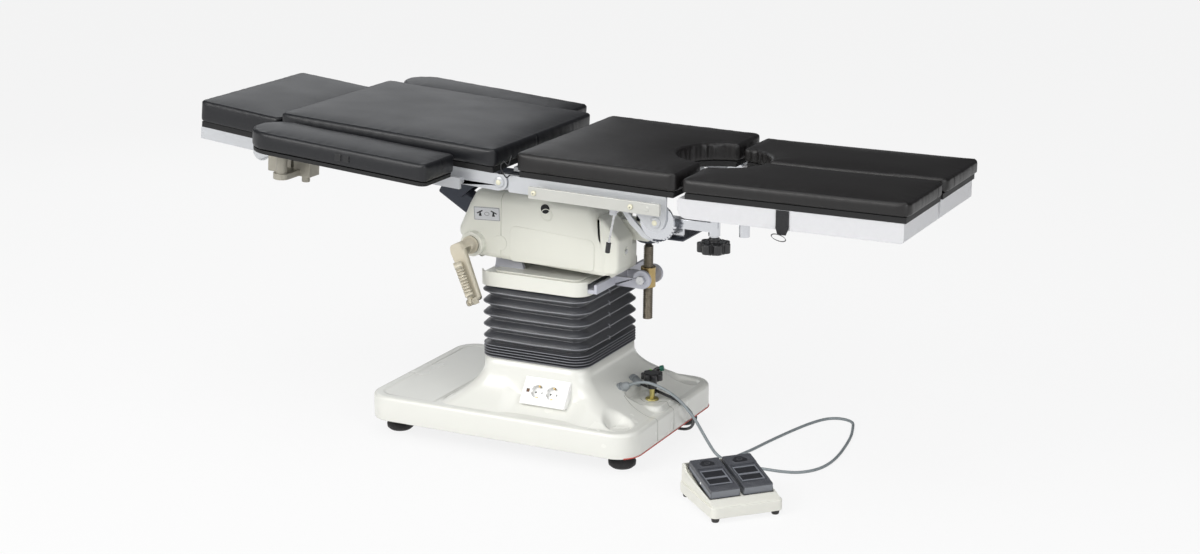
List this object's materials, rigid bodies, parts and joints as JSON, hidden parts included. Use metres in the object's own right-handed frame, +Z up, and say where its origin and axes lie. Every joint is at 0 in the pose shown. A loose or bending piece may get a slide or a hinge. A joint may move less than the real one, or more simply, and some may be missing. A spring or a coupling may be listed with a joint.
{
  "type": "operating table",
  "caption": "Operating table with pedestal base, bellows lift column, crank tilt and hinged head, back, seat and leg sections with armboards and a foot switch.",
  "frame": {"origin": "centre of the object's footprint on the floor", "axes": "+X towards the foot end, +Y away from the crank side, +Z up"},
  "size_m": [2.0545, 0.9204, 0.8782],
  "materials": {
    "cover_white": "glossy moulded cover, warm white",
    "chassis_steel": "dark painted steel",
    "black_rubber": "matt black",
    "outlet_white": "white outlet housing",
    "grey_plastic": "grey nylon",
    "black_plastic": "black, slightly glossy",
    "yellow_zinc": "yellow passivated",
    "column_steel": "bare guide tube",
    "bellows_grey": "dark grey coated fabric, satin",
    "lilac_steel": "lilac grey coated steel",
    "rim_white": "pale painted rim",
    "bolt_steel": "bright bolt",
    "housing_white": "moulded off-white cover",
    "frame_steel": "dark inner frame",
    "crank_beige": "beige crank",
    "handle_beige": "ribbed beige grip",
    "spindle_steel": "oiled threaded spindle",
    "nut_brass": "machined brass",
    "plate_steel": "light blue grey coated side plates",
    "rail_steel": "brushed accessory rail",
    "pin_cream": "cream capped pins",
    "drive_dark": "dark blue grey drive unit",
    "pad_black": "black leatherette, satin",
    "board_black": "black board",
    "clamp_beige": "beige grey clamp",
    "leg_grey": "fine textured light grey",
    "carrier_chrome": "plated carrier and socket",
    "strap_black": "black webbing",
    "switch_cream": "cream switch base",
    "pedal_grey": "dark grey pedal",
    "cable_grey": "grey flexible cable",
    "cable_black": "black flexible lead"
  },
  "bodies": {
    "base": {"base_cover": "cover_white", "base_chassis": "chassis_steel", "rubber_feet": "black_rubber", "socket_box": "outlet_white", "cable_glands": "grey_plastic", "base_fittings": "yellow_zinc", "outer_column": "column_steel", "lift_actuator": "frame_steel", "bellows": "bellows_grey", "foot_switch_housing": "switch_cream", "foot_switch_cable": "cable_grey", "mains_lead": "cable_black", "mains_coil": "cable_black", "mains_plug": "black_plastic"},
    "left_pedal": {"pedal_left": "pedal_grey"},
    "right_pedal": {"pedal_right": "pedal_grey"},
    "base_knob": {"lowering_knob": "black_plastic"},
    "middle": {"middle_column": "column_steel"},
    "lift": {"inner_column": "column_steel", "actuator_rod": "bolt_steel", "column_head": "lilac_steel", "head_rim": "rim_white", "trunnion_bolts": "bolt_steel", "tilt_shaft": "bolt_steel"},
    "housing": {"housing_cover": "housing_white", "crank_cover": "housing_white", "housing_frame": "frame_steel"},
    "drive": {"drive_shaft": "bolt_steel"},
    "crank": {"crank_arm": "crank_beige"},
    "handle": {"crank_handle": "handle_beige"},
    "gearbox": {"spindle_gearbox": "housing_white"},
    "screw": {"spindle": "spindle_steel"},
    "nut": {"spindle_nut": "nut_brass"},
    "seat": {"seat_frame": "plate_steel", "seat_rails": "rail_steel", "seat_pad": "pad_black", "hinge_pins": "pin_cream", "back_drive_unit": "drive_dark", "antistatic_cord": "strap_black"},
    "lever": {"release_lever": "bolt_steel"},
    "back": {"back_frame": "plate_steel", "back_pad": "pad_black", "armboard_clamps": "clamp_beige"},
    "head": {"head_frame": "plate_steel", "head_pad": "pad_black"},
    "arm_near": {"armboard_near": "board_black", "armboard_pad_near": "pad_black"},
    "arm_far": {"armboard_far": "board_black", "armboard_pad_far": "pad_black"},
    "carrier_near": {"leg_carrier_near": "carrier_chrome"},
    "carrier_far": {"leg_carrier_far": "carrier_chrome"},
    "leg_near": {"leg_frame_near": "leg_grey", "leg_pad_near": "pad_black", "leg_strap": "strap_black"},
    "leg_far": {"leg_frame_far": "leg_grey", "leg_pad_far": "pad_black"},
    "knob_near": {"leg_knob_near": "black_plastic"},
    "knob_far": {"leg_knob_far": "black_plastic"}
  },
  "joints": [
    {"name": "lift_travel", "type": "slide", "parent": "base", "child": "lift", "axis": [0, 0, 1], "range_m": [-0.08, 0.17], "deforming": ["bellows"]},
    {"name": "middle_travel", "type": "slide", "parent": "base", "child": "middle", "axis": [0, 0, 1], "range_m": [-0.04, 0.085]},
    {"name": "tilt", "type": "hinge", "parent": "lift", "child": "housing", "pos_m": [-0.143, 0, 0.545], "axis": [0, -1, 0], "range_deg": [-2.5, 14]},
    {"name": "crank_turn", "type": "hinge", "parent": "housing", "child": "crank", "pos_m": [-0.21921, 0, 0.53673], "axis": [0, -1, 0], "continuous": true},
    {"name": "handle_fold", "type": "hinge", "parent": "crank", "child": "handle", "pos_m": [-0.16601, -0.254, 0.40831], "axis": [0.9239, 0, 0.3827], "range_deg": [0, 90]},
    {"name": "drive_turn", "type": "hinge", "parent": "housing", "child": "drive", "pos_m": [-0.21921, 0, 0.53673], "axis": [0.9911, 0, 0.1333], "continuous": true},
    {"name": "gearbox_swing", "type": "hinge", "parent": "housing", "child": "gearbox", "pos_m": [0.22627, 0, 0.59664], "axis": [0, -1, 0], "range_deg": [-8.2, 2]},
    {"name": "screw_turn", "type": "hinge", "parent": "gearbox", "child": "screw", "pos_m": [0.22627, 0, 0.59664], "axis": [-0.0095, 0, -1], "continuous": true},
    {"name": "nut_travel", "type": "slide", "parent": "gearbox", "child": "nut", "axis": [-0.0095, 0, -1], "range_m": [-0.0165, 0.0895]},
    {"name": "lateral_tilt", "type": "hinge", "parent": "housing", "child": "seat", "pos_m": [0.00348, 0, 0.69672], "axis": [0.9997, 0, -0.0227], "range_deg": [-12, 12]},
    {"name": "release_pull", "type": "hinge", "parent": "seat", "child": "lever", "pos_m": [0.2506, -0.246, 0.69911], "axis": [0, 1, 0], "range_deg": [0, 25], "stiffness_Nm_per_rad": 0.6, "springref_deg": -11.46},
    {"name": "back_raise", "type": "hinge", "parent": "seat", "child": "back", "pos_m": [-0.07199, 0, 0.74304], "axis": [0, 1, 0], "range_deg": [-15, 35]},
    {"name": "head_raise", "type": "hinge", "parent": "back", "child": "head", "pos_m": [-0.82569, 0, 0.74646], "axis": [0, 1, 0], "range_deg": [-45, 6]},
    {"name": "arm_swing_near", "type": "hinge", "parent": "back", "child": "arm_near", "pos_m": [-0.66157, -0.377, 0.79253], "axis": [-0.0785, 0, -0.9969], "range_deg": [0, 100]},
    {"name": "leg_pitch_near", "type": "hinge", "parent": "seat", "child": "carrier_near", "pos_m": [0.36891, -0.215, 0.68502], "axis": [0, 1, 0], "range_deg": [-1.5, 65]},
    {"name": "leg_spread_near", "type": "hinge", "parent": "carrier_near", "child": "leg_near", "pos_m": [0.50631, -0.215, 0.65542], "axis": [0, 0, -1], "range_deg": [0, 6]},
    {"name": "leg_knob_turn_near", "type": "hinge", "parent": "leg_near", "child": "knob_near", "pos_m": [0.50631, -0.215, 0.65542], "axis": [0, 0, 1], "continuous": true},
    {"name": "arm_swing_far", "type": "hinge", "parent": "back", "child": "arm_far", "pos_m": [-0.66157, 0.377, 0.79253], "axis": [0.0785, 0, 0.9969], "range_deg": [0, 100]},
    {"name": "leg_pitch_far", "type": "hinge", "parent": "seat", "child": "carrier_far", "pos_m": [0.36891, 0.215, 0.68502], "axis": [0, 1, 0], "range_deg": [-1.5, 90]},
    {"name": "leg_spread_far", "type": "hinge", "parent": "carrier_far", "child": "leg_far", "pos_m": [0.50631, 0.215, 0.65542], "axis": [0, 0, 1], "range_deg": [0, 6]},
    {"name": "leg_knob_turn_far", "type": "hinge", "parent": "leg_far", "child": "knob_far", "pos_m": [0.50631, 0.215, 0.65542], "axis": [0, 0, 1], "continuous": true},
    {"name": "left_pedal_press", "type": "hinge", "parent": "base", "child": "left_pedal", "pos_m": [0.61546, -0.38862, 0.047], "axis": [-0.6884, -0.7254, 0], "range_deg": [0, 5], "stiffness_Nm_per_rad": 8, "springref_deg": -6.88},
    {"name": "right_pedal_press", "type": "hinge", "parent": "base", "child": "right_pedal", "pos_m": [0.67397, -0.32697, 0.047], "axis": [-0.6884, -0.7254, 0], "range_deg": [0, 5], "stiffness_Nm_per_rad": 8, "springref_deg": -6.88},
    {"name": "base_knob_turn", "type": "hinge", "parent": "base", "child": "base_knob", "pos_m": [0.242, -0.007, 0.128], "axis": [0, 0, 1], "continuous": true}
  ],
  "couplings": [
    {"joint": "middle_travel", "follows": "lift_travel", "ratio": 0.5},
    {"joint": "gearbox_swing", "follows": "tilt", "ratio": -0.55},
    {"joint": "nut_travel", "follows": "tilt", "m_per_rad": 0.3645},
    {"joint": "drive_turn", "follows": "crank_turn", "ratio": -1},
    {"joint": "screw_turn", "follows": "crank_turn", "ratio": 1}
  ]
}
